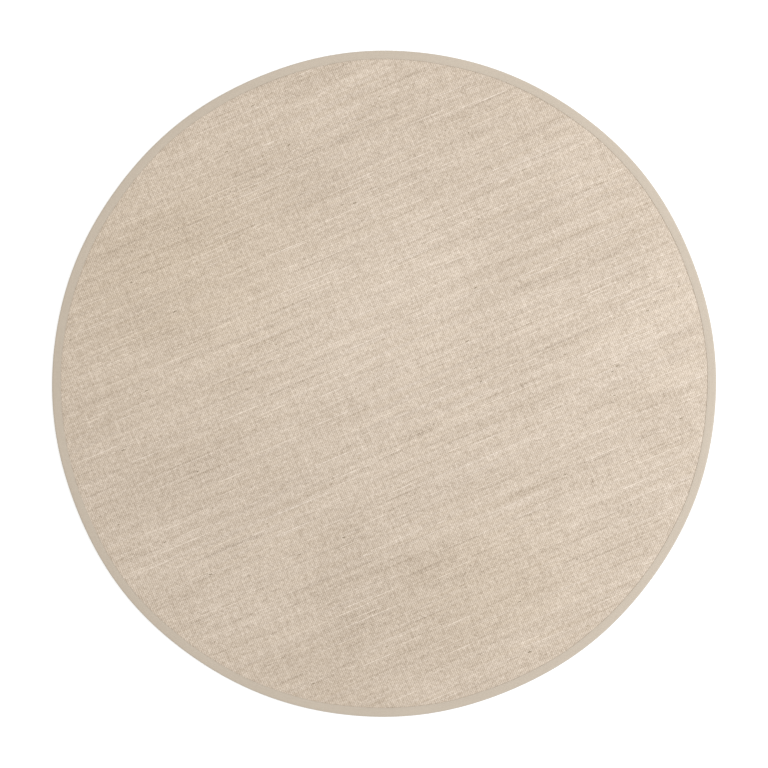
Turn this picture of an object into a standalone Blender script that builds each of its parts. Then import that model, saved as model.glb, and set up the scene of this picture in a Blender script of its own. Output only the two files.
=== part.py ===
"""Round sisal rug: a disc of flat-woven sisal cloth whose cut edge is bound with a folded woven tape.

Metres, +Z up. The origin is the middle of the underside, where the rug lies on the floor.
Run with: blender --background --python part.py
"""

import math
from collections import namedtuple

import bpy

# Driving sizes
RUG_DIAMETER = 2.000       # over the tape, on the mean circle of the outline
FIELD_THICKNESS = 0.0058   # the woven cloth
RIM_THICKNESS = 0.0040     # the same cloth where the tape holds it pressed
TAPE_THICKNESS = 0.0010
TAPE_WIDTH = 0.0265        # the part of the tape that lies on each face
CLEARANCE = 0.0003         # between the cloth and the tape
RAMP_LENGTH = 0.0012       # over which the cloth thins beside the tape

# The cut edge strays from a true circle in a few long waves round the rug.
Wave = namedtuple("Wave", "count height crest_deg")
OUTLINE_WAVES = (
    Wave(count=2, height=0.0034, crest_deg=58),
    Wave(count=4, height=0.0008, crest_deg=68),
    Wave(count=6, height=0.0005, crest_deg=43),
    Wave(count=8, height=0.0007, crest_deg=40),
    Wave(count=12, height=0.0007, crest_deg=8),
)

# How finely the round shapes are divided
STEPS_ROUND = 144
STEPS_FOLD = 6

RUG_RADIUS = RUG_DIAMETER / 2
TAPE_HEIGHT = RIM_THICKNESS + 2 * (CLEARANCE + TAPE_THICKNESS)
FOLD_RADIUS = TAPE_HEIGHT / 2
FOLD_CENTRE = (RUG_RADIUS - FOLD_RADIUS, FOLD_RADIUS)
TAPE_INNER_RADIUS = RUG_RADIUS - TAPE_WIDTH


def clear_scene():
    for obj in list(bpy.data.objects):
        bpy.data.objects.remove(obj)


def fold_arc(radius):
    """Half a circle round the rug's edge, from its top to its bottom, as (radius, height) points."""
    centre_r, centre_z = FOLD_CENTRE
    arc = []
    for step in range(STEPS_FOLD + 1):
        angle = math.pi / 2 - math.pi * step / STEPS_FOLD
        arc.append((centre_r + radius * math.cos(angle), centre_z + radius * math.sin(angle)))
    return arc


def field_profile():
    """The cloth's section from its middle on top, out round the pressed rim, to its middle beneath."""
    rim_starts = TAPE_INNER_RADIUS - CLEARANCE
    thins_from = rim_starts - RAMP_LENGTH
    rim_bottom = TAPE_THICKNESS + CLEARANCE
    rim_top = rim_bottom + RIM_THICKNESS
    upper = [(0, FIELD_THICKNESS), (thins_from, FIELD_THICKNESS), (rim_starts, rim_top)]
    lower = [(rim_starts, rim_bottom), (thins_from, 0), (0, 0)]
    return upper + fold_arc(RIM_THICKNESS / 2) + lower


def tape_profile():
    """The tape's section: over its outer face from top to bottom, then back along its inner face."""
    outer = [(TAPE_INNER_RADIUS, TAPE_HEIGHT)] + fold_arc(FOLD_RADIUS) + [(TAPE_INNER_RADIUS, 0)]
    inner = fold_arc(FOLD_RADIUS - TAPE_THICKNESS)
    inner.reverse()
    leg_below = (TAPE_INNER_RADIUS, TAPE_THICKNESS)
    leg_above = (TAPE_INNER_RADIUS, TAPE_HEIGHT - TAPE_THICKNESS)
    return outer + [leg_below] + inner + [leg_above]


def turned(name, profile, closed):
    """A mesh turned round +Z from a section of (radius, height) points."""
    section = bpy.data.meshes.new(name + "_section")
    edges = [(i, i + 1) for i in range(len(profile) - 1)]
    if closed:
        edges.append((len(profile) - 1, 0))
    section.from_pydata([(radius, 0, height) for radius, height in profile], edges, [])
    lathe = bpy.data.objects.new(name + "_lathe", section)
    bpy.context.scene.collection.objects.link(lathe)
    screw = lathe.modifiers.new("Turn", "SCREW")
    screw.axis = "Z"
    screw.steps = STEPS_ROUND
    screw.render_steps = STEPS_ROUND
    screw.use_merge_vertices = True
    screw.merge_threshold = 0.00001
    graph = bpy.context.evaluated_depsgraph_get()
    mesh = bpy.data.meshes.new_from_object(lathe.evaluated_get(graph))
    mesh.name = name
    bpy.data.objects.remove(lathe)
    bpy.data.meshes.remove(section)
    return mesh


def outline_stretch(angle):
    """How far the rug's edge lies from the middle in this direction, as a share of the mean radius."""
    stray = sum(
        wave.height * math.cos(wave.count * (angle - math.radians(wave.crest_deg)))
        for wave in OUTLINE_WAVES
    )
    return 1 + stray / RUG_RADIUS


def follow_outline(mesh):
    """Stretches the true circle to the uneven line the cloth was cut to."""
    for vertex in mesh.vertices:
        stretch = outline_stretch(math.atan2(vertex.co.y, vertex.co.x))
        vertex.co.x *= stretch
        vertex.co.y *= stretch


def woven_material(name, colour, roughness):
    material = bpy.data.materials.new(name)
    material.use_nodes = True
    material.diffuse_color = colour
    shader = material.node_tree.nodes["Principled BSDF"]
    shader.inputs["Base Color"].default_value = colour
    shader.inputs["Roughness"].default_value = roughness
    shader.inputs["Metallic"].default_value = 0
    return material


def add_piece(collection, name, mesh, material):
    follow_outline(mesh)
    mesh.shade_smooth()
    mesh.set_sharp_from_angle(angle=math.radians(35))
    mesh.materials.append(material)
    piece = bpy.data.objects.new(name, mesh)
    collection.objects.link(piece)
    return piece


clear_scene()
rug = bpy.data.collections.new("round_sisal_rug")
bpy.context.scene.collection.children.link(rug)

sisal = woven_material("sisal", (0.66, 0.55, 0.44, 1), 0.85)
cotton = woven_material("cotton_tape", (0.61, 0.53, 0.43, 1), 0.9)

add_piece(rug, "sisal_field", turned("sisal_field", field_profile(), closed=False), sisal)
add_piece(rug, "edge_tape", turned("edge_tape", tape_profile(), closed=True), cotton)
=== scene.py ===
"""A round sisal rug with a sewn edge tape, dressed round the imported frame. Metres, +Z up."""

import math

import bmesh
import bpy
import numpy as np
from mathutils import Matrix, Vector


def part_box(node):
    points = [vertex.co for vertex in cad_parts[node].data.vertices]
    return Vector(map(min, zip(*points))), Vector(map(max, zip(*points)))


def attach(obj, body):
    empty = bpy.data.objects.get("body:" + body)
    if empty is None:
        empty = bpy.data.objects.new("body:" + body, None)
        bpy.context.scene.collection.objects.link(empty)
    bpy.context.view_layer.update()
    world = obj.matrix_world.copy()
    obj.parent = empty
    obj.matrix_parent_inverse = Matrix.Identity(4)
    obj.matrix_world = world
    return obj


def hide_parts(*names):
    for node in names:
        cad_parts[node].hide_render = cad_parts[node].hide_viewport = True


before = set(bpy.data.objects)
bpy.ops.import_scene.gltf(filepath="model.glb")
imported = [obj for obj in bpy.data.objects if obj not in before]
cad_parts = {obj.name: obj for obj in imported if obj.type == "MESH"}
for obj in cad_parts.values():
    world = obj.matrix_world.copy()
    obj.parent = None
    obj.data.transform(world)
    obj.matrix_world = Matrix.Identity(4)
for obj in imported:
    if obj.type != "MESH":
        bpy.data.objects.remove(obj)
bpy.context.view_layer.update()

# --- The sisal cloth ---------------------------------------------------------------------------
# A disc of flat-woven sisal: stiff, uneven weft yarns beaten down over a finer warp, so that the
# face is a field of small knuckles in narrow ribs. It is cut round, and its edge is pressed thin
# where the tape grips it.

MM = 0.001
cloth_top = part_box("sisal_field")[1].z
tape_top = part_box("edge_tape")[1].z

rug_radius = 1000 * MM
tape_width = 26.5 * MM
tape_thickness = 1.0 * MM
clearance = 0.3 * MM
ramp_length = 1.2 * MM
fold_radius = tape_top / 2
fold_centre = rug_radius - fold_radius
tape_inner = rug_radius - tape_width
rim_radius = fold_radius - tape_thickness - clearance
cloth_radius = fold_centre + rim_radius
rim_starts = tape_inner - clearance
thins_from = rim_starts - ramp_length

weave_angle = math.radians(23.0)
rib_pitch = 5.62 * MM
rib_depth = 0.75 * MM
rib_unevenness = 0.3 * MM
pick_pitch = 4.9 * MM
# How fine the mesh is: lines of points in each rib, and points along each line of the upper face.
columns_per_rib = 4
rows_on_top = 54

# The cut edge strays from a true circle in these waves: how many go round, how high each is, and
# where its first crest lies.
outline_waves = (
    dict(count=2, height=3.4 * MM, crest_deg=58),
    dict(count=4, height=0.8 * MM, crest_deg=68),
    dict(count=6, height=0.5 * MM, crest_deg=43),
    dict(count=8, height=0.7 * MM, crest_deg=40),
    dict(count=12, height=0.7 * MM, crest_deg=8),
)
# The tape's inner edge was guided by hand, so it wanders a little on its own, over this width.
inner_edge_waves = (
    dict(count=3, height=0.5 * MM, crest_deg=100),
    dict(count=9, height=0.5 * MM, crest_deg=12),
    dict(count=17, height=0.4 * MM, crest_deg=5),
    dict(count=31, height=0.3 * MM, crest_deg=2),
)
wander_width = 12 * MM
# The weave isn't square everywhere: ribs bow by a millimetre or two over these lengths.
weave_bows = (
    dict(length=830 * MM, direction_deg=10, bow=1.7 * MM, start_deg=40),
    dict(length=460 * MM, direction_deg=75, bow=0.9 * MM, start_deg=200),
    dict(length=290 * MM, direction_deg=140, bow=0.5 * MM, start_deg=310),
)


def waves_round(waves, angle):
    """The sum of waves that run round the rug, at each angle."""
    return sum(w["height"] * np.cos(w["count"] * (angle - math.radians(w["crest_deg"]))) for w in waves)


def settled(points):
    """Moves points of the true circle to where the rug really lies: bowed weave, uneven edge."""
    x, y, z = points.T
    radius = np.hypot(x, y)
    # The weave bows freely until close to the tape, whose inner edge wanders only near itself.
    bow_fade, wander_fade = 6, 4
    bowing = np.clip(1 - (radius / tape_inner) ** bow_fade, 0, 1)
    for bow in weave_bows:
        along = math.radians(bow["direction_deg"])
        phase = 2 * math.pi * (x * math.cos(along) + y * math.sin(along)) / bow["length"]
        push = bow["bow"] * bowing * np.sin(phase + math.radians(bow["start_deg"]))
        x = x + push * math.cos(weave_angle)
        y = y + push * math.sin(weave_angle)
    angle = np.arctan2(y, x)
    wandering = np.exp(-(((radius - tape_inner) / wander_width) ** wander_fade))
    strays = waves_round(outline_waves, angle) + wandering * waves_round(inner_edge_waves, angle)
    grown = 1 + strays / rug_radius
    return np.stack([x * grown, y * grown, z], axis=1)


def turned_to_weave(points):
    """From the loom's axes, with the weft along X, to the rug's own."""
    x, y, z = points.T
    turned_x = x * math.cos(weave_angle) - y * math.sin(weave_angle)
    turned_y = x * math.sin(weave_angle) + y * math.cos(weave_angle)
    return np.stack([turned_x, turned_y, z], axis=1)


def points_of(mesh):
    flat = np.empty(len(mesh.vertices) * 3, np.float32)
    mesh.vertices.foreach_get("co", flat)
    return flat.reshape(-1, 3).astype(float)


def move_points(mesh, points):
    mesh.vertices.foreach_set("co", points.astype(np.float32).ravel())
    mesh.update()


def mark_weave(mesh):
    """Keeps each point's place on the loom, in metres, as the UV map that the weave is drawn on."""
    places = points_of(mesh)[:, :2]
    corners = np.empty(len(mesh.loops), np.int32)
    mesh.loops.foreach_get("vertex_index", corners)
    layer = mesh.uv_layers.new(name="weave")
    layer.data.foreach_set("uv", places[corners].astype(np.float32).ravel())


def add_piece(name, mesh):
    piece = bpy.data.objects.new(name, mesh)
    bpy.context.scene.collection.objects.link(piece)
    return piece


def put(tree, kind, inputs=None, **settings):
    """Adds a node with its settings. An input is a value, or the socket that feeds it."""
    node = tree.nodes.new(kind)
    for name, value in settings.items():
        setattr(node, name, value)
    for socket, value in (inputs or {}).items():
        if isinstance(value, bpy.types.NodeSocket):
            tree.links.new(value, node.inputs[socket])
        else:
            node.inputs[socket].default_value = value
    return node


def new_tree(name, inputs):
    """An empty Geometry Nodes tree with a geometry in and out and these named inputs."""
    tree = bpy.data.node_groups.new(name, "GeometryNodeTree")
    tree.interface.new_socket("Geometry", in_out="OUTPUT", socket_type="NodeSocketGeometry")
    tree.interface.new_socket("Geometry", in_out="INPUT", socket_type="NodeSocketGeometry")
    for socket_name, socket_type in inputs.items():
        tree.interface.new_socket(socket_name, in_out="INPUT", socket_type=socket_type)
    return tree


def grow(piece, tree, values):
    """Runs a Geometry Nodes tree on a piece and leaves the result as its plain mesh."""
    modifier = piece.modifiers.new(tree.name, "NODES")
    modifier.node_group = tree
    sockets = {s.name: s.identifier for s in tree.interface.items_tree if s.item_type == "SOCKET"}
    for name, value in values.items():
        modifier[sockets[name]] = value
    graph = bpy.context.evaluated_depsgraph_get()
    grown = bpy.data.meshes.new_from_object(piece.evaluated_get(graph))
    piece.modifiers.clear()
    plain = piece.data
    piece.data = grown
    bpy.data.meshes.remove(plain)
    grown.name = piece.name


def corners_of(grid):
    """The four corners of each square of a grid, in order round the square."""
    return np.stack([grid[:-1, :-1], grid[:-1, 1:], grid[1:, 1:], grid[1:, :-1]], axis=2)


def close_mesh(mesh):
    """Merges a closed mesh's doubled points and turns its faces outwards."""
    merge_distance = 0.0001 * MM
    shape = bmesh.new()
    shape.from_mesh(mesh)
    bmesh.ops.remove_doubles(shape, verts=shape.verts, dist=merge_distance)
    bmesh.ops.dissolve_degenerate(shape, edges=shape.edges, dist=merge_distance)
    bmesh.ops.recalc_face_normals(shape, faces=shape.faces)
    shape.to_mesh(mesh)
    shape.free()


def face_height(radius, upper):
    """The cloth's upper or lower face at this distance from the middle, before its ribs."""
    side = 1 if upper else -1
    middle_height = cloth_top if upper else 0
    thinning = np.clip((radius - thins_from) / ramp_length, 0, 1)
    flat = middle_height + thinning * (fold_radius + side * rim_radius - middle_height)
    past = np.clip(radius - fold_centre, 0, rim_radius)
    rounded = fold_radius + side * np.sqrt(rim_radius ** 2 - past ** 2)
    return np.where(radius > fold_centre, rounded, flat)


def woven_disc():
    """The closed cloth in the loom's axes: a ring of points round it at each line of a rib."""
    step = rib_pitch / columns_per_rib
    # The last line of points stays at least this share of a step from the disc's own end.
    least_gap = 0.2
    half = math.floor(cloth_radius / step - least_gap)
    across = np.concatenate([[-cloth_radius], np.arange(-half, half + 1) * step, [cloth_radius]])
    shoulder = fold_centre + rim_radius / 2
    outward = [rim_starts, fold_centre, shoulder, cloth_radius]
    inward = [shoulder, fold_centre, rim_starts, thins_from]
    chain = [(share, thins_from, True) for share in np.linspace(-1, 1, rows_on_top)]
    chain += [(1, radius, True) for radius in outward]
    chain += [(1, radius, False) for radius in inward]
    chain += [(-1, radius, False) for radius in reversed(inward)]
    chain += [(-1, radius, True) for radius in reversed(outward)]
    rings = []
    for share, radius, upper in chain:
        along = share * np.sqrt(np.clip(radius ** 2 - across ** 2, 0, None))
        rings.append(np.stack([across, along, face_height(np.hypot(across, along), upper)], axis=1))
    points = np.stack(rings, axis=1)
    columns, loop = points.shape[:2]
    index = np.pad(np.arange(columns * loop).reshape(columns, loop), ((0, 0), (0, 1)), mode="wrap")
    mesh = bpy.data.meshes.new("sisal_cloth")
    mesh.from_pydata(points.reshape(-1, 3), [], corners_of(index).reshape(-1, 4).tolist())
    close_mesh(mesh)
    return mesh


rib_tree = new_tree("raise_ribs", {
    "Rib pitch": "NodeSocketFloat",
    "Rib depth": "NodeSocketFloat",
    "Face height": "NodeSocketFloat",
    "Thins from": "NodeSocketFloat",
    "Unevenness": "NodeSocketFloat",
    "Finish": "NodeSocketMaterial",
})
given = put(rib_tree, "NodeGroupInput").outputs
place = put(rib_tree, "GeometryNodeInputPosition").outputs["Position"]
axes = put(rib_tree, "ShaderNodeSeparateXYZ", {"Vector": place}).outputs

# The face dips from a rib's crest by the rib depth: half of it times the cosine less one.
turns = put(rib_tree, "ShaderNodeMath", {0: axes["X"], 1: given["Rib pitch"]}, operation="DIVIDE")
phase = put(rib_tree, "ShaderNodeMath", {0: turns.outputs[0], 1: 2 * math.pi}, operation="MULTIPLY")
swell = put(rib_tree, "ShaderNodeMath", {0: phase.outputs[0]}, operation="COSINE")
below = put(rib_tree, "ShaderNodeMath", {0: swell.outputs[0], 1: 1.0}, operation="SUBTRACT")
half_depth = put(rib_tree, "ShaderNodeMath", {0: given["Rib depth"], 1: 0.5}, operation="MULTIPLY")
dip = put(rib_tree, "ShaderNodeMath", {0: below.outputs[0], 1: half_depth.outputs[0]},
          operation="MULTIPLY")

# Each stretch of yarn is a little fuller or flatter than the next, about a noise's own mean.
full_width, full_length = 14 * MM, 350 * MM
noise_mean = 0.5
stretched = put(rib_tree, "ShaderNodeVectorMath", {0: place, 1: (1 / full_width, 1 / full_length, 1)},
                operation="MULTIPLY")
fullness = put(rib_tree, "ShaderNodeTexNoise",
               {"Vector": stretched.outputs[0], "Scale": 1.0, "Detail": 2.0}, noise_dimensions="2D")
uneven = put(rib_tree, "ShaderNodeMath", {0: fullness.outputs[0], 1: noise_mean}, operation="SUBTRACT")
raised = put(rib_tree, "ShaderNodeMath", {
    0: uneven.outputs[0],
    1: given["Unevenness"],
    2: dip.outputs[0],
}, operation="MULTIPLY_ADD")
offset = put(rib_tree, "ShaderNodeCombineXYZ", {"Z": raised.outputs[0]})

# Only the upper face inside the tape is ribbed.
flat_place = put(rib_tree, "ShaderNodeVectorMath", {0: place, 1: (1, 1, 0)}, operation="MULTIPLY")
radius = put(rib_tree, "ShaderNodeVectorMath", {0: flat_place.outputs[0]}, operation="LENGTH")
within = put(rib_tree, "FunctionNodeCompare", {0: radius.outputs["Value"], 1: given["Thins from"]},
             data_type="FLOAT", operation="LESS_EQUAL")
on_top = put(rib_tree, "FunctionNodeCompare", {0: axes["Z"], 1: given["Face height"]},
             data_type="FLOAT", operation="GREATER_THAN")
on_face = put(rib_tree, "FunctionNodeBooleanMath", {0: within.outputs[0], 1: on_top.outputs[0]},
              operation="AND")
ribbed = put(rib_tree, "GeometryNodeSetPosition", {
    "Geometry": given["Geometry"],
    "Selection": on_face.outputs[0],
    "Offset": offset.outputs[0],
})
whole = put(rib_tree, "GeometryNodeRealizeInstances", {"Geometry": ribbed.outputs[0]})
finished = put(rib_tree, "GeometryNodeSetMaterial",
               {"Geometry": whole.outputs[0], "Material": given["Finish"]})
put(rib_tree, "NodeGroupOutput", {"Geometry": finished.outputs[0]})

# Undyed sisal: a hard, dry leaf fibre, spun thick and thin. It is matte and straw coloured, and each
# yarn has its own tone. The hollows between the knuckles, the rib valleys and the picks carry painted
# shade. A patch is a stretch of lighter or darker yarn, this long along the weft and along the warp.
yarn_patches = (
    dict(along_weft=3000 * MM, along_warp=22.5 * MM, detail=6, roughness=0.85, shift=3.1, strength=0.345),
    dict(along_weft=300 * MM, along_warp=9.5 * MM, detail=1, roughness=0.6, shift=11.7, strength=0.18),
    dict(along_weft=7 * MM, along_warp=500 * MM, detail=2, roughness=0.8, shift=23.9, strength=0.19),
    dict(along_weft=7.6 * MM, along_warp=7.2 * MM, detail=0, roughness=0.5, shift=61.3, strength=0.345),
    dict(along_weft=26 * MM, along_warp=24 * MM, detail=0, roughness=0.5, shift=71.9, strength=0.12),
    dict(along_weft=220 * MM, along_warp=130 * MM, detail=0, roughness=0.5, shift=97.1, strength=0.07),
    dict(along_weft=550 * MM, along_warp=300 * MM, detail=1, roughness=0.6, shift=37.3, strength=0.10),
)
# Some lots of yarn are paler or darker than the rest: where each lies on the loom, and how far it
# fades out along the weft and the warp, in metres.
yarn_lots = (
    dict(at=(-0.06, 0.24), reach=(0.62, 0.46), strength=0.065),
    dict(at=(0.77, -0.11), reach=(0.42, 0.26), strength=0.06),
    dict(at=(-0.66, -0.36), reach=(0.50, 0.22), strength=0.035),
    dict(at=(-0.20, -0.62), reach=(0.85, 0.42), strength=-0.06),
)
# Some yarns, and some lots, are yellower than the rest, like straw.
straw_patches = (
    dict(along_weft=600 * MM, along_warp=10 * MM, detail=2, roughness=0.7, shift=83.3, strength=1.1),
)
straw_lots = (
    dict(at=(-0.45, 0.56), reach=(0.70, 0.60), strength=0.45),
    dict(at=(0.07, -0.70), reach=(0.45, 0.36), strength=0.35),
)
straw_share = 0.4
straw_tint = "FFFDF7"
# The rows of knuckles wander a little, because no two weft yarns are equally thick.
row_wander = (
    dict(along_weft=160 * MM, along_warp=45 * MM, detail=2, roughness=0.5, shift=51.7, strength=12 * MM),
)
# The fibres lie along the yarn, at the slant that its twist gives them. They are 0.2 mm thick, and
# are drawn a little coarser.
fibre_streaks = (
    dict(along_weft=4.5 * MM, along_warp=0.32 * MM, detail=2, roughness=0.6, shift=41.3, strength=0.50),
)
fibre_slant = math.radians(24)
# A knuckle strays from its even place by this share of the spacing, and reaches its full height at
# this share of the spacing from the gap beside it. A bundle is a clump of fibres within the yarn.
knuckle_stray = 0.3
knuckle_shoulder = 0.34
mean_fullness = 0.42
fibre_bundle = 2.6 * MM
# How much each of these lightens or darkens the yarn, on the tone's scale of 0 to 1. The hollow, rib
# and pick ones are painted shade, darkening the hollows, the rib valleys and every second pick.
knuckle_contrast = 0.085
bundle_contrast = 0.06
painted_hollow_shade = 0.18
painted_rib_shade = 0.046
painted_pick_shade = 0.009
mean_tone = 0.47


def paint(hex_code):
    """A colour-card value, turned to the linear light that the shaders work in."""
    shares = [int(hex_code[i:i + 2], 16) / 255 for i in (0, 2, 4)]
    linear = [s / 12.92 if s <= 0.04045 else ((s + 0.055) / 1.055) ** 2.4 for s in shares]
    return (*linear, 1)


def with_contrast(tree, tone, value, mean, contrast):
    """This tone, made lighter where a value is over its mean and darker where it is under."""
    centred = put(tree, "ShaderNodeMath", {0: value, 1: mean}, operation="SUBTRACT")
    added = {0: centred.outputs[0], 1: contrast, 2: tone}
    return put(tree, "ShaderNodeMath", added, operation="MULTIPLY_ADD").outputs[0]


def patchy_tone(tree, places, patches):
    """The sum of these patches of lighter and darker yarn, about zero."""
    # Each is shifted to its own part of the noise, along a line of this slope.
    shift_slope = 1.7
    tone = 0.0
    for patch in patches:
        scaled = put(tree, "ShaderNodeMapping", {
            "Vector": places,
            "Location": (patch["shift"], shift_slope * patch["shift"], 0),
            "Scale": (1 / patch["along_weft"], 1 / patch["along_warp"], 1),
        })
        noise = put(tree, "ShaderNodeTexNoise", {
            "Vector": scaled.outputs[0],
            "Scale": 1.0,
            "Detail": patch["detail"],
            "Roughness": patch["roughness"],
        }, noise_dimensions="2D")
        tone = with_contrast(tree, tone, noise.outputs[0], noise_mean, patch["strength"])
    return tone


def with_lots(tree, tone, places, lots):
    """This tone with broad, soft-edged lots of other yarn in it."""
    for lot in lots:
        weft_reach, warp_reach = lot["reach"]
        away = put(tree, "ShaderNodeVectorMath", {0: places, 1: (*lot["at"], 0)}, operation="SUBTRACT")
        away = put(tree, "ShaderNodeVectorMath",
                   {0: away.outputs[0], 1: (1 / weft_reach, 1 / warp_reach, 0)}, operation="MULTIPLY")
        away = put(tree, "ShaderNodeVectorMath", {0: away.outputs[0]}, operation="LENGTH")
        fade = put(tree, "ShaderNodeMapRange",
                   {"Value": away.outputs["Value"], "To Min": 1.0, "To Max": 0.0},
                   interpolation_type="SMOOTHSTEP")
        tone = with_contrast(tree, tone, fade.outputs[0], 0.0, lot["strength"])
    return tone


def with_cell_tones(tree, tone, cells, contrast):
    """This tone, with each of these cells of yarn a little lighter or darker than the next."""
    bundles = put(tree, "ShaderNodeTexVoronoi", cells, voronoi_dimensions="2D")
    parts = put(tree, "ShaderNodeSeparateColor", {"Color": bundles.outputs["Color"]}).outputs
    return with_contrast(tree, tone, parts["Red"], noise_mean, contrast)


def cell_fullness(tree, cells, shoulder):
    """How high the yarn stands in each of these cells, from 0 in the gaps round it to 1."""
    gaps = put(tree, "ShaderNodeTexVoronoi", cells, voronoi_dimensions="2D", feature="DISTANCE_TO_EDGE")
    rise = {"Value": gaps.outputs["Distance"], "From Max": shoulder}
    return put(tree, "ShaderNodeMapRange", rise, interpolation_type="SMOOTHSTEP").outputs[0]


# A tone runs from 0, the darkest yarn, to 1, the lightest.
middle_tone = 0.5


def three_tones(tree, tone, mean, dark, middle, light):
    """A colour between these three, by a tone that is laid about this mean."""
    level = put(tree, "ShaderNodeMath", {0: tone, 1: mean}, operation="ADD")
    shade = put(tree, "ShaderNodeValToRGB", {"Fac": level.outputs[0]})
    ramp = shade.color_ramp.elements
    ramp[0].position, ramp[0].color = 0.0, paint(dark)
    ramp[1].position, ramp[1].color = 1.0, paint(light)
    between = ramp.new(middle_tone)
    between.color = paint(middle)
    return shade.outputs["Color"]


sisal = bpy.data.materials.new("undyed_sisal_weave")
sisal.use_nodes = True
look = sisal.node_tree
shader = look.nodes["Principled BSDF"]
weave = put(look, "ShaderNodeUVMap", uv_map="weave").outputs["UV"]
tone = with_lots(look, patchy_tone(look, weave, yarn_patches), weave, yarn_lots)

wander = put(look, "ShaderNodeCombineXYZ", {"Y": patchy_tone(look, weave, row_wander)})
rows = put(look, "ShaderNodeVectorMath", {0: weave, 1: wander.outputs[0]}, operation="ADD")
# A knuckle's middle strays from its rib's crest, to either side alike.
knuckle_map = put(look, "ShaderNodeMapping", {
    "Vector": rows.outputs[0],
    "Location": (knuckle_stray / 2, knuckle_stray / 2, 0),
    "Scale": (1 / rib_pitch, 1 / pick_pitch, 1),
})
knuckles = {"Vector": knuckle_map.outputs[0], "Scale": 1.0, "Randomness": knuckle_stray}
bundles = {"Vector": weave, "Scale": 1 / fibre_bundle, "Randomness": 1.0}
fullness = cell_fullness(look, knuckles, knuckle_shoulder)
tone = with_cell_tones(look, tone, knuckles, knuckle_contrast)
tone = with_cell_tones(look, tone, bundles, bundle_contrast)
# Painted shade: the yarn is darkened where it stands low, in the hollows between the knuckles.
tone = with_contrast(look, tone, fullness, mean_fullness, painted_hollow_shade)
# Painted light and shade: an even beat, lighter on the rib crests and darker in their valleys, and a
# weaker one that darkens every second pick.
spot = put(look, "ShaderNodeSeparateXYZ", {"Vector": weave}).outputs
for way, repeat, contrast in (("X", rib_pitch, painted_rib_shade), ("Y", 2 * pick_pitch, painted_pick_shade)):
    turns = put(look, "ShaderNodeMath", {0: spot[way], 1: 2 * math.pi / repeat}, operation="MULTIPLY")
    wave = put(look, "ShaderNodeMath", {0: turns.outputs[0]}, operation="COSINE")
    tone = with_contrast(look, tone, wave.outputs[0], 0.0, contrast)

slanted = put(look, "ShaderNodeMapping", {"Vector": weave, "Rotation": (0, 0, fibre_slant)}).outputs[0]
streaks = patchy_tone(look, slanted, fibre_streaks)
own = put(look, "ShaderNodeAttribute", attribute_name="yarn_tone", attribute_type="GEOMETRY")
tone = with_contrast(look, tone, streaks, 0.0, 1.0)
tone = with_contrast(look, tone, own.outputs["Fac"], 0.0, 1.0)
colour = three_tones(look, tone, mean_tone, "8F7E6B", "BAAB9A", "DCCEBF")
straw = with_lots(look, patchy_tone(look, weave, straw_patches), weave, straw_lots)
straw = put(look, "ShaderNodeMath", {0: straw, 1: straw_share}, operation="ADD", use_clamp=True)
# A Mix node's colour sockets are its seventh and eighth, and its colour result is its third.
tinted = put(look, "ShaderNodeMix", {0: straw.outputs[0], 6: colour, 7: paint(straw_tint)},
             data_type="RGBA", blend_type="MULTIPLY")
look.links.new(tinted.outputs[2], shader.inputs["Base Color"])

knuckle_bump = put(look, "ShaderNodeBump", {"Height": fullness, "Strength": 0.7, "Distance": 0.6 * MM})
fibre_bump = put(look, "ShaderNodeBump", {
    "Height": streaks,
    "Strength": 0.6,
    "Distance": 0.2 * MM,
    "Normal": knuckle_bump.outputs[0],
})
look.links.new(fibre_bump.outputs[0], shader.inputs["Normal"])
shader.inputs["Roughness"].default_value = 0.85
shader.inputs["Specular IOR Level"].default_value = 0.25

# The points of the ribbed face are told from the rest by height and radius, to within these.
height_tolerance = 0.1 * MM
radius_tolerance = 0.05 * MM
cloth_mesh = woven_disc()
mark_weave(cloth_mesh)
cloth = add_piece("sisal_cloth", cloth_mesh)
grow(cloth, rib_tree, {
    "Rib pitch": rib_pitch,
    "Rib depth": rib_depth,
    "Face height": cloth_top - height_tolerance,
    "Thins from": thins_from + radius_tolerance,
    "Unevenness": rib_unevenness,
    "Finish": sisal,
})
move_points(cloth.data, settled(turned_to_weave(points_of(cloth.data))))
cloth.data.shade_smooth()
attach(cloth, "root")
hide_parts("sisal_field")

# --- The slubs, fibre ends and bark ------------------------------------------------------------
# Slubs are thick, loosely spun stretches of the weft yarn, woven in row by row, that lie a little
# proud of the ribs. Fibre ends work loose from the yarn, and specks of dark leaf bark stay in it.

lay_tree = new_tree("lay_yarns", {
    "Spread radius": "NodeSocketFloat",
    "Number": "NodeSocketFloat",
    "Row pitch": "NodeSocketFloat",
    "Shortest": "NodeSocketFloat",
    "Longest": "NodeSocketFloat",
    "Narrowest": "NodeSocketFloat",
    "Widest": "NodeSocketFloat",
    "Thickness": "NodeSocketFloat",
    "Lies at": "NodeSocketFloat",
    "Sway": "NodeSocketFloat",
    "Arch": "NodeSocketFloat",
    "Bend": "NodeSocketFloat",
    "Darkest": "NodeSocketFloat",
    "Lightest": "NodeSocketFloat",
    "Sides": "NodeSocketInt",
    "Rings": "NodeSocketInt",
    "Seed": "NodeSocketInt",
    "Finish": "NodeSocketMaterial",
})
given = put(lay_tree, "NodeGroupInput").outputs
spread = put(lay_tree, "GeometryNodeMeshCircle", {"Vertices": 128, "Radius": given["Spread radius"]},
             fill_type="NGON")
radius_squared = put(lay_tree, "ShaderNodeMath",
                     {0: given["Spread radius"], 1: given["Spread radius"]}, operation="MULTIPLY")
area = put(lay_tree, "ShaderNodeMath", {0: radius_squared.outputs[0], 1: math.pi}, operation="MULTIPLY")
density = put(lay_tree, "ShaderNodeMath", {0: given["Number"], 1: area.outputs[0]}, operation="DIVIDE")
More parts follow.
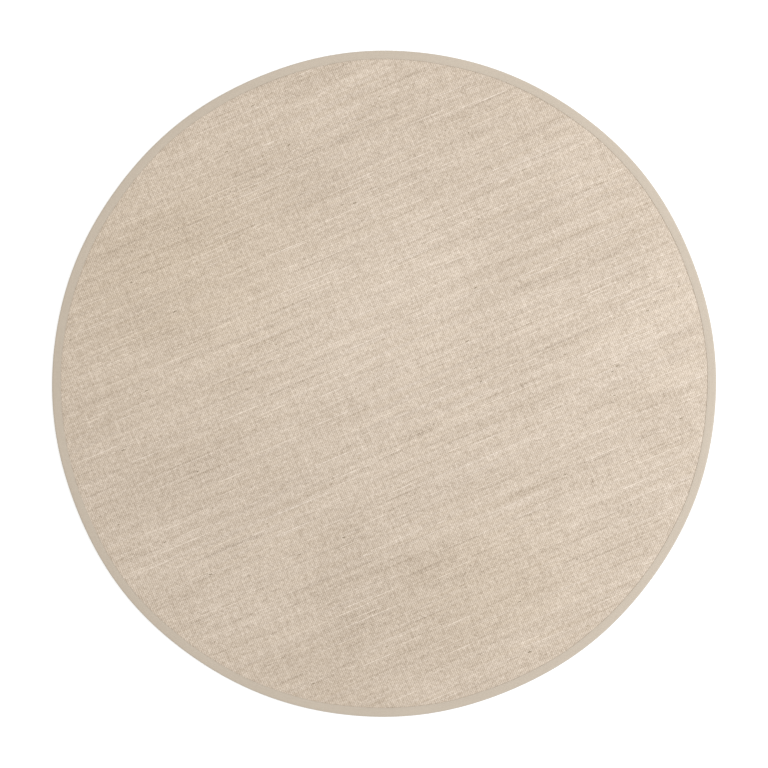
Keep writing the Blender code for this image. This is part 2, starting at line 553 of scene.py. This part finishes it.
strewn = put(lay_tree, "GeometryNodeDistributePointsOnFaces", {
    "Mesh": spread.outputs[0],
    "Density": density.outputs[0],
    "Seed": given["Seed"],
}, distribute_method="RANDOM")
place = put(lay_tree, "GeometryNodeInputPosition").outputs["Position"]
axes = put(lay_tree, "ShaderNodeSeparateXYZ", {"Vector": place}).outputs
row = put(lay_tree, "ShaderNodeMath", {0: axes["Y"], 1: given["Row pitch"]}, operation="SNAP")
in_row = put(lay_tree, "ShaderNodeCombineXYZ",
             {"X": axes["X"], "Y": row.outputs[0], "Z": given["Lies at"]})
rows = put(lay_tree, "GeometryNodeSetPosition",
           {"Geometry": strewn.outputs["Points"], "Position": in_row.outputs[0]})

# A yarn is no longer than its row allows, so that none runs under the tape. Long ones are rare.
rarity = 2.0
row_squared = put(lay_tree, "ShaderNodeMath", {0: axes["Y"], 1: axes["Y"]}, operation="MULTIPLY")
chord = put(lay_tree, "ShaderNodeMath", {0: radius_squared.outputs[0], 1: row_squared.outputs[0]},
            operation="SUBTRACT")
half_row = put(lay_tree, "ShaderNodeMath", {0: chord.outputs[0]}, operation="SQRT")
off_centre = put(lay_tree, "ShaderNodeMath", {0: axes["X"]}, operation="ABSOLUTE")
half_room = put(lay_tree, "ShaderNodeMath", {0: half_row.outputs[0], 1: off_centre.outputs[0]},
                operation="SUBTRACT")
room = put(lay_tree, "ShaderNodeMath", {0: half_room.outputs[0], 1: 2.0}, operation="MULTIPLY")
chance = put(lay_tree, "FunctionNodeRandomValue", {"Seed": 1}, data_type="FLOAT")
rarer = put(lay_tree, "ShaderNodeMath", {0: chance.outputs[1], 1: rarity}, operation="POWER")
wanted = put(lay_tree, "ShaderNodeMapRange", {
    "Value": rarer.outputs[0],
    "To Min": given["Shortest"],
    "To Max": given["Longest"],
})
length = put(lay_tree, "ShaderNodeMath", {0: wanted.outputs[0], 1: room.outputs[0]},
             operation="MINIMUM")
fits = put(lay_tree, "FunctionNodeCompare", {0: length.outputs[0], 1: given["Shortest"]},
           data_type="FLOAT", operation="GREATER_EQUAL")
# A random value's numbers are its third and fourth sockets, and its result is the second.
width = put(lay_tree, "FunctionNodeRandomValue",
            {2: given["Narrowest"], 3: given["Widest"], "Seed": 2}, data_type="FLOAT")
backwards = put(lay_tree, "ShaderNodeMath", {0: given["Sway"], 1: -1.0}, operation="MULTIPLY")
turn = put(lay_tree, "FunctionNodeRandomValue",
           {2: backwards.outputs[0], 3: given["Sway"], "Seed": 3}, data_type="FLOAT")
turned = put(lay_tree, "ShaderNodeCombineXYZ", {"Z": turn.outputs[1]})
size = put(lay_tree, "ShaderNodeCombineXYZ",
           {"X": length.outputs[0], "Y": width.outputs[1], "Z": given["Thickness"]})

# One yarn, a unit long, wide and thick, with its ends drawn out to points and its middle lifted by
# Arch and pushed aside by Bend.
ball = put(lay_tree, "GeometryNodeMeshUVSphere",
           {"Segments": given["Sides"], "Rings": given["Rings"], "Radius": 0.5})
lying = put(lay_tree, "GeometryNodeTransform",
            {"Geometry": ball.outputs[0], "Rotation": (0, math.pi / 2, 0)})
along = put(lay_tree, "ShaderNodeMath", {0: axes["X"], 1: 2.0}, operation="MULTIPLY")
squared = put(lay_tree, "ShaderNodeMath", {0: along.outputs[0], 1: 2.0}, operation="POWER")
middle = put(lay_tree, "ShaderNodeMath", {0: 1.0, 1: squared.outputs[0]}, operation="SUBTRACT")
lifted = put(lay_tree, "ShaderNodeMath", {0: middle.outputs[0], 1: given["Arch"]}, operation="MULTIPLY")
pushed = put(lay_tree, "ShaderNodeMath", {0: middle.outputs[0], 1: given["Bend"]}, operation="MULTIPLY")
curved = put(lay_tree, "ShaderNodeCombineXYZ", {"Y": pushed.outputs[0], "Z": lifted.outputs[0]})
yarn = put(lay_tree, "GeometryNodeSetPosition",
           {"Geometry": lying.outputs[0], "Offset": curved.outputs[0]})
laid = put(lay_tree, "GeometryNodeInstanceOnPoints", {
    "Points": rows.outputs[0],
    "Selection": fits.outputs[0],
    "Instance": yarn.outputs[0],
    "Rotation": turned.outputs[0],
    "Scale": size.outputs[0],
})
yarn_tone = put(lay_tree, "FunctionNodeRandomValue",
                {2: given["Darkest"], 3: given["Lightest"], "Seed": 4}, data_type="FLOAT")
toned = put(lay_tree, "GeometryNodeStoreNamedAttribute", {
    "Geometry": laid.outputs[0],
    "Name": "yarn_tone",
    "Value": yarn_tone.outputs[1],
}, data_type="FLOAT", domain="INSTANCE")
whole = put(lay_tree, "GeometryNodeRealizeInstances", {"Geometry": toned.outputs[0]})
finished = put(lay_tree, "GeometryNodeSetMaterial",
               {"Geometry": whole.outputs[0], "Material": given["Finish"]})
put(lay_tree, "NodeGroupOutput", {"Geometry": finished.outputs[0]})

# Leaf bark is left on some fibres where they were stripped: hard, dull and brown.
bark_patches = (
    dict(along_weft=4 * MM, along_warp=2 * MM, detail=2, roughness=0.6, shift=7.1, strength=0.5),
)
bark = bpy.data.materials.new("brown_leaf_bark")
bark.use_nodes = True
look = bark.node_tree
shader = look.nodes["Principled BSDF"]
weave = put(look, "ShaderNodeUVMap", uv_map="weave").outputs["UV"]
own = put(look, "ShaderNodeAttribute", attribute_name="yarn_tone", attribute_type="GEOMETRY")
tone = with_contrast(look, patchy_tone(look, weave, bark_patches), own.outputs["Fac"], 0.0, 1.0)
colour = three_tones(look, tone, middle_tone, "4E4232", "75664F", "A39379")
look.links.new(colour, shader.inputs["Base Color"])
shader.inputs["Roughness"].default_value = 0.75
shader.inputs["Specular IOR Level"].default_value = 0.3

# Widths and lengths are real ones. Arch and Bend are shares of the thickness and the width, and
# the tones are added to the cloth's own. A slub is sunk until 0.14 mm of it stands above the ribs.
laid_yarns = {
    "slub_yarns": {
        "Number": 1700.0, "Shortest": 30 * MM, "Longest": 270 * MM,
        "Narrowest": 3.2 * MM, "Widest": 5.6 * MM, "Thickness": 1.8 * MM,
        "Lies at": cloth_top - 0.76 * MM, "Sway": math.radians(0.3), "Arch": 0.0, "Bend": 0.0,
        "Darkest": -0.14, "Lightest": 0.25, "Sides": 6, "Rings": 9, "Seed": 5, "Finish": sisal,
    },
    "loose_fibres": {
        "Number": 2000.0, "Shortest": 9 * MM, "Longest": 28 * MM,
        "Narrowest": 0.25 * MM, "Widest": 0.40 * MM, "Thickness": 0.28 * MM,
        "Lies at": cloth_top - 0.1 * MM, "Sway": math.radians(70), "Arch": 3.0, "Bend": 7.0,
        "Darkest": -0.25, "Lightest": 0.25, "Sides": 4, "Rings": 6, "Seed": 8, "Finish": sisal,
    },
    "bark_specks": {
        "Number": 90.0, "Shortest": 4 * MM, "Longest": 14 * MM,
        "Narrowest": 1.5 * MM, "Widest": 2.8 * MM, "Thickness": 0.9 * MM,
        "Lies at": cloth_top - 0.2 * MM, "Sway": math.radians(12), "Arch": 0.0, "Bend": 0.3,
        "Darkest": -0.15, "Lightest": 0.5, "Sides": 6, "Rings": 6, "Seed": 13, "Finish": bark,
    },
}
# None of them comes nearer than this to where the cloth thins under the tape.
tape_clearance = 1.5 * MM
for name, sizes in laid_yarns.items():
    piece = add_piece(name, bpy.data.meshes.new(name))
    common = {"Spread radius": thins_from - tape_clearance, "Row pitch": pick_pitch}
    grow(piece, lay_tree, {**common, **sizes})
    mark_weave(piece.data)
    move_points(piece.data, settled(turned_to_weave(points_of(piece.data))))
    piece.data.shade_smooth()
    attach(piece, "root")

# --- The edge tape -----------------------------------------------------------------------------
# One length of close-woven cotton tape, folded over the cut edge so that equal widths lie on both
# faces, eased round the curve and sewn down. Its inner edges stand a little proud of the cloth.

# Round the rug, a step of the tape's mesh is a quarter of a degree.
tape_steps = 1440
# The seam pulls the tape down into a shallow groove, this far in from its inner edge.
seam_inset = 3.0 * MM
seam_width = 1.3 * MM
seam_sink = 0.30 * MM
# The section has more points across the seam. The inner edge is a blunt, softened fold.
leg_insets_mm = (0.6, 1.3, 2.0, 2.5, 3.0, 3.5, 4.2, 6, 10, 15, 20)
inner_face_insets_mm = (10, 2)
edge_blunting = 0.15 * MM
edge_softening = 0.12 * MM
# The fold's points, in degrees up from its outermost line: up its inner face, down its outer one.
inner_fold_deg = range(0, 91, 30)
outer_fold_deg = range(75, -1, -15)
# The upper leg puckers a little between the stitches, less and less over this width.
pucker_reach = 8 * MM
pucker_waves = (
    dict(count=97, height=0.10 * MM, crest_deg=1),
    dict(count=163, height=0.08 * MM, crest_deg=0.7),
    dict(count=241, height=0.06 * MM, crest_deg=0.2),
)


def fold_points(radius, angles_deg):
    """Points round the tape's fold, at this radius from its axis, as (radius, height)."""
    angles = [math.radians(angle) for angle in angles_deg]
    return [(fold_centre + radius * math.cos(a), fold_radius + radius * math.sin(a)) for a in angles]


def tape_section():
    """The tape's closed section as (radius, height): its upper half, then the mirror of that."""
    upper = fold_points(fold_radius - tape_thickness, inner_fold_deg)
    upper += [(tape_inner + inset * MM, tape_top - tape_thickness) for inset in inner_face_insets_mm]
    upper += [
        (tape_inner + edge_blunting, tape_top - tape_thickness + edge_softening),
        (tape_inner, tape_top - tape_thickness / 2),
        (tape_inner + edge_blunting, tape_top - edge_softening),
    ]
    for inset in leg_insets_mm:
        sink = seam_sink * math.exp(-(((inset * MM - seam_inset) / seam_width) ** 2))
        upper.append((tape_inner + inset * MM, tape_top - sink))
    upper += fold_points(fold_radius, outer_fold_deg)
    lower = [(radius, tape_top - height) for radius, height in reversed(upper[1:-1])]
    return np.array(upper + lower)


def tape_mesh():
    """The section carried round the rug, with its run and its girth in metres as the UV map."""
    section = tape_section()
    radius, height = section.T
    angle = np.arange(tape_steps)[:, None] * 2 * math.pi / tape_steps
    loose = np.clip(1 - (radius - tape_inner) / pucker_reach, 0, 1) * (height > fold_radius)
    z = height + loose * waves_round(pucker_waves, angle)
    points = np.stack([radius * np.cos(angle), radius * np.sin(angle), z], axis=-1)
    index = np.arange(z.size).reshape(z.shape)
    corners = corners_of(np.pad(index, ((0, 1), (0, 1)), mode="wrap"))
    mesh = bpy.data.meshes.new("edge_binding")
    mesh.from_pydata(points.reshape(-1, 3), [], corners.reshape(-1, 4).tolist())

    sides = np.diff(np.vstack([section, section[:1]]), axis=0)
    girth = np.concatenate([[0], np.cumsum(np.hypot(*sides.T))])
    run = np.arange(tape_steps + 1) * 2 * math.pi * fold_centre / tape_steps
    places = np.stack(np.meshgrid(run, girth, indexing="ij"), axis=-1)
    layer = mesh.uv_layers.new(name="tape")
    layer.data.foreach_set("uv", corners_of(places).astype(np.float32).ravel())
    close_mesh(mesh)
    return mesh


# Cotton tape in a close plain weave: soft, matte and greyer than the sisal. Its threads are 0.6 mm
# apart, finer than can show, so they are drawn twice as coarse, with painted shade in the gaps between
# them.
tape_patches = (
    dict(along_weft=300 * MM, along_warp=50 * MM, detail=3, roughness=0.6, shift=5.3, strength=0.10),
    dict(along_weft=4 * MM, along_warp=20 * MM, detail=2, roughness=0.7, shift=17.9, strength=0.06),
    dict(along_weft=90 * MM, along_warp=1.4 * MM, detail=1, roughness=0.6, shift=29.1, strength=0.06),
)
drawn_thread = 1.2 * MM
thread_stray = 0.12
thread_shoulder = 0.35
mean_thread_fullness = 0.5
thread_contrast = 0.09
painted_thread_gap_shade = 0.12

cotton = bpy.data.materials.new("plain_woven_cotton_tape")
cotton.use_nodes = True
look = cotton.node_tree
shader = look.nodes["Principled BSDF"]
weave = put(look, "ShaderNodeUVMap", uv_map="tape").outputs["UV"]
threads = {"Vector": weave, "Scale": 1 / drawn_thread, "Randomness": thread_stray}
fullness = cell_fullness(look, threads, thread_shoulder)
tone = with_cell_tones(look, patchy_tone(look, weave, tape_patches), threads, thread_contrast)
# Painted shade: the tape is darkened where the thread stands low, in the gaps between the threads.
tone = with_contrast(look, tone, fullness, mean_thread_fullness, painted_thread_gap_shade)
colour = three_tones(look, tone, middle_tone, "887C6D", "B1A493", "CEC3B3")
look.links.new(colour, shader.inputs["Base Color"])
bump = put(look, "ShaderNodeBump", {"Height": fullness, "Strength": 0.6, "Distance": 0.2 * MM})
look.links.new(bump.outputs[0], shader.inputs["Normal"])
shader.inputs["Roughness"].default_value = 0.9
shader.inputs["Specular IOR Level"].default_value = 0.2
shader.inputs["Sheen Weight"].default_value = 0.1

binding_mesh = tape_mesh()
move_points(binding_mesh, settled(points_of(binding_mesh)))
binding_mesh.shade_smooth()
binding_mesh.materials.append(cotton)
binding = add_piece("edge_binding", binding_mesh)
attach(binding, "root")
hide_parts("edge_tape")

# --- The stitching -----------------------------------------------------------------------------
# One row of lockstitch, in polyester thread of the tape's colour, goes through both legs of the
# tape and the cloth between them. It is pulled down into the tape on both faces.

stitch_spacing = 6.5 * MM
stitch_length = 5.2 * MM
thread_thickness = 0.8 * MM
thread_off_floor = 0.02 * MM

sewing_tree = new_tree("sew_round", {
    "Seam radius": "NodeSocketFloat",
    "Spacing": "NodeSocketFloat",
    "Stitch length": "NodeSocketFloat",
    "Thread": "NodeSocketFloat",
    "Upper face": "NodeSocketFloat",
    "Lower face": "NodeSocketFloat",
    "Finish": "NodeSocketMaterial",
})
given = put(sewing_tree, "NodeGroupInput").outputs
seam = put(sewing_tree, "GeometryNodeCurvePrimitiveCircle",
           {"Resolution": 720, "Radius": given["Seam radius"]}, mode="RADIUS")
spots = put(sewing_tree, "GeometryNodeCurveToPoints",
            {"Curve": seam.outputs[0], "Length": given["Spacing"]}, mode="LENGTH")
bead = put(sewing_tree, "GeometryNodeMeshUVSphere", {"Segments": 6, "Rings": 5, "Radius": 0.5})
size = put(sewing_tree, "ShaderNodeCombineXYZ",
           {"X": given["Thread"], "Y": given["Thread"], "Z": given["Stitch length"]})
row = put(sewing_tree, "GeometryNodeInstanceOnPoints", {
    "Points": spots.outputs["Points"],
    "Instance": bead.outputs[0],
    "Rotation": spots.outputs["Rotation"],
    "Scale": size.outputs[0],
})
both_rows = put(sewing_tree, "GeometryNodeJoinGeometry")
for face in ("Upper face", "Lower face"):
    lift = put(sewing_tree, "ShaderNodeCombineXYZ", {"Z": given[face]})
    moved = put(sewing_tree, "GeometryNodeTransform",
                {"Geometry": row.outputs[0], "Translation": lift.outputs[0]})
    sewing_tree.links.new(moved.outputs[0], both_rows.inputs[0])
whole = put(sewing_tree, "GeometryNodeRealizeInstances", {"Geometry": both_rows.outputs[0]})
finished = put(sewing_tree, "GeometryNodeSetMaterial",
               {"Geometry": whole.outputs[0], "Material": given["Finish"]})
put(sewing_tree, "NodeGroupOutput", {"Geometry": finished.outputs[0]})

# Spun polyester sewing thread: fine, hard twisted and a little glossier than the cotton.
thread_patches = (
    dict(along_weft=20 * MM, along_warp=20 * MM, detail=2, roughness=0.6, shift=2.3, strength=0.3),
)
polyester = bpy.data.materials.new("spun_polyester_thread")
polyester.use_nodes = True
look = polyester.node_tree
shader = look.nodes["Principled BSDF"]
solid_place = put(look, "ShaderNodeTexCoord").outputs["Object"]
tone = patchy_tone(look, solid_place, thread_patches)
colour = three_tones(look, tone, middle_tone, "9A8F80", "B9AE9E", "D0C6B8")
look.links.new(colour, shader.inputs["Base Color"])
shader.inputs["Roughness"].default_value = 0.55

stitches = add_piece("seam_stitches", bpy.data.meshes.new("seam_stitches"))
grow(stitches, sewing_tree, {
    "Seam radius": tape_inner + seam_inset,
    "Spacing": stitch_spacing,
    "Stitch length": stitch_length,
    "Thread": thread_thickness,
    "Upper face": tape_top - seam_sink,
    "Lower face": thread_thickness / 2 + thread_off_floor,
    "Finish": polyester,
})
move_points(stitches.data, settled(points_of(stitches.data)))
stitches.data.shade_smooth()
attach(stitches, "root")

# --- The studio --------------------------------------------------------------------------------
# A pale, slightly lit floor, one broad lamp from the right, a weaker one from the far side, and an
# even white surround.

floor_reach = 12.0
# The floor lies a hair under the rug, so that the two don't share a plane.
floor_drop = 0.2 * MM
floor_corners = [(x * floor_reach, y * floor_reach, 0) for x, y in ((-1, -1), (1, -1), (1, 1), (-1, 1))]
floor_mesh = bpy.data.meshes.new("studio_floor")
floor_mesh.from_pydata(floor_corners, [], [(0, 1, 2, 3)])
floor_paint = bpy.data.materials.new("pale_acrylic_floor")
floor_paint.use_nodes = True
floor_shader = floor_paint.node_tree.nodes["Principled BSDF"]
floor_shader.inputs["Base Color"].default_value = paint("C9C9C8")
floor_shader.inputs["Roughness"].default_value = 0.8
floor_shader.inputs["Specular IOR Level"].default_value = 0.1
floor_shader.inputs["Emission Color"].default_value = paint("FFFFFF")
floor_shader.inputs["Emission Strength"].default_value = 0.42
floor_mesh.materials.append(floor_paint)
floor = add_piece("studio_floor", floor_mesh)
floor.location.z = -floor_drop

surround = bpy.data.worlds.new("white_surround")
surround.use_nodes = True
sky = surround.node_tree.nodes["Background"]
sky.inputs["Color"].default_value = paint("FFFFFF")
sky.inputs["Strength"].default_value = 1.0
bpy.context.scene.world = surround

lamp_distance = 5.5


def soft_lamp(name, turn_deg, height_deg, size, watts, tint):
    """A square lamp facing the middle of the rug, at this bearing and height."""
    lamp = bpy.data.objects.new(name, bpy.data.lights.new(name, "AREA"))
    lamp.data.size = size
    lamp.data.energy = watts
    lamp.data.color = tint
    turn, rise = math.radians(turn_deg), math.radians(height_deg)
    lamp.location = (
        lamp_distance * math.cos(rise) * math.cos(turn),
        lamp_distance * math.cos(rise) * math.sin(turn),
        lamp_distance * math.sin(rise),
    )
    lamp.rotation_euler = (math.pi / 2 - rise, 0, turn + math.pi / 2)
    bpy.context.scene.collection.objects.link(lamp)


soft_lamp("main_lamp", turn_deg=2, height_deg=40, size=2.2, watts=215, tint=(0.82, 0.89, 1.0))
soft_lamp("fill_lamp", turn_deg=80, height_deg=35, size=2.0, watts=30, tint=(1, 1, 1))

# The camera looks straight down, a hair off the rug's centre.
shown_width = 2.3117
camera_height = 5.0
rug_off_centre = (0.6 * MM, 0.9 * MM)
camera = bpy.data.objects.new("camera", bpy.data.cameras.new("camera"))
camera.location = (-rug_off_centre[0], -rug_off_centre[1], camera_height)
camera.data.sensor_width = 36
camera.data.lens = camera.data.sensor_width * camera_height / shown_width
bpy.context.scene.collection.objects.link(camera)
bpy.context.scene.camera = camera
bpy.context.scene.view_settings.view_transform = "Standard"
